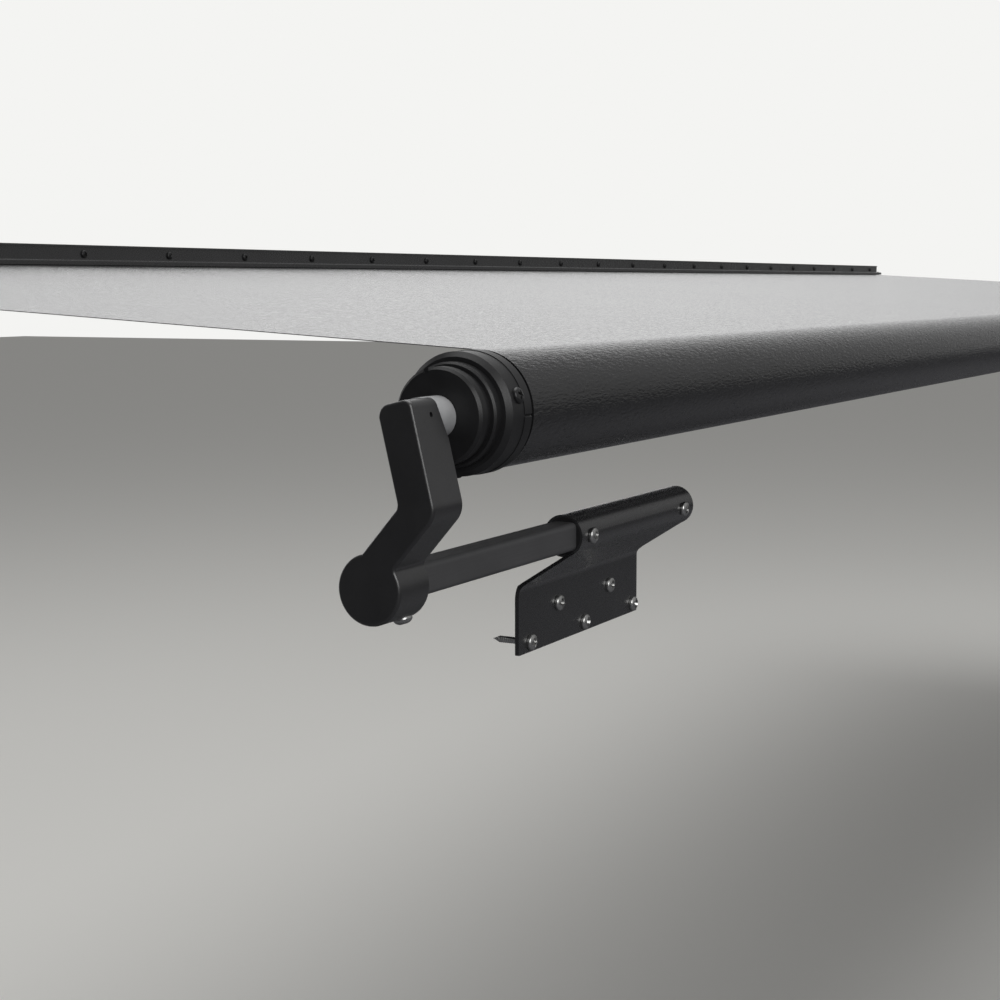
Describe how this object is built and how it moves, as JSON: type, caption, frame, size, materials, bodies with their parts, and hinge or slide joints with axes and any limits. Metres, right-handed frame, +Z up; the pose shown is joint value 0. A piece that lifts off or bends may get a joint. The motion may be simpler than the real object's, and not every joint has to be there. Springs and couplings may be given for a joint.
{
  "type": "slide-out box awning",
  "caption": "Slide-out awning: a slotted wall rail, a coated fabric and a spring roller with stepped end caps on dog-leg arms and telescoping bars held in bolted brackets.",
  "frame": {"origin": "on the back face of the wall rail, halfway along its row of screws", "axes": "+X along the roller towards its right-hand end seen from the room's far side of the wall, +Y into the vehicle wall, +Z up"},
  "size_m": [4.716, 1.1923, 0.2946],
  "materials": {
    "rail_black": "satin black powder coat on aluminium",
    "screw_black": "satin black",
    "screw_steel": "bright stainless steel",
    "rope": "matte",
    "fabric": "coated black vinyl, satin",
    "tube": "black mill aluminium",
    "cap": "satin black moulding",
    "spring": "oiled spring steel",
    "plug": "matte black nylon",
    "rivet": "plain",
    "bush_grey": "grey acetal",
    "spindle": "zinc-plated steel",
    "arm": "satin black paint on cast aluminium",
    "bar": "satin black",
    "bracket": "satin black powder coat on extruded aluminium",
    "bush_black": "matte black nylon"
  },
  "bodies": {
    "wall": {"wall_rail": "rail_black", "rail_screws": "screw_black", "fabric_stop_screws": "screw_steel", "fabric_rail_rope": "rope", "fabric_span": "fabric"},
    "slide_out": {"left_bracket": "bracket", "left_bracket_screws": "screw_steel", "left_sleeve_screws": "screw_steel", "left_sleeve_bushes": "bush_black", "right_bracket": "bracket", "right_bracket_screws": "screw_steel", "right_sleeve_screws": "screw_steel", "right_sleeve_bushes": "bush_black"},
    "left_arm_set": {"left_arm": "arm", "left_arm_clamp_screw": "screw_steel", "left_bar": "bar", "left_spring_spindle": "spindle", "spring_collar": "plug", "left_spindle_bush": "bush_grey"},
    "right_arm_set": {"right_arm": "arm", "right_arm_clamp_screw": "screw_steel", "right_bar": "bar", "right_idler_spindle": "spindle", "right_spindle_bush": "bush_grey"},
    "roller": {"roller_tube": "tube", "fabric_roller_rope": "rope", "fabric_roll": "fabric", "left_end_cap": "cap", "right_end_cap": "cap", "left_cap_screws": "screw_steel", "right_cap_screws": "screw_steel", "torsion_spring": "spring", "spring_plug": "plug", "spring_plug_rivets": "rivet"}
  },
  "joints": [
    {"name": "slide_out_travel", "type": "slide", "parent": "wall", "child": "slide_out", "axis": [0, 1, 0], "range_m": [0, 1.05], "deforming": ["fabric_span"]},
    {"name": "left_arm_slide", "type": "slide", "parent": "slide_out", "child": "left_arm_set", "axis": [-1, 0, 0], "range_m": [0, 0.02]},
    {"name": "right_arm_slide", "type": "slide", "parent": "slide_out", "child": "right_arm_set", "axis": [1, 0, 0], "range_m": [0, 0.02]},
    {"name": "roller_spin", "type": "hinge", "parent": "slide_out", "child": "roller", "pos_m": [0, -1.13, -0.115], "axis": [1, 0, 0], "range_deg": [0, 1720]}
  ],
  "couplings": [
    {"joint": "roller_spin", "follows": "slide_out_travel", "rad_per_m": 28.4}
  ]
}
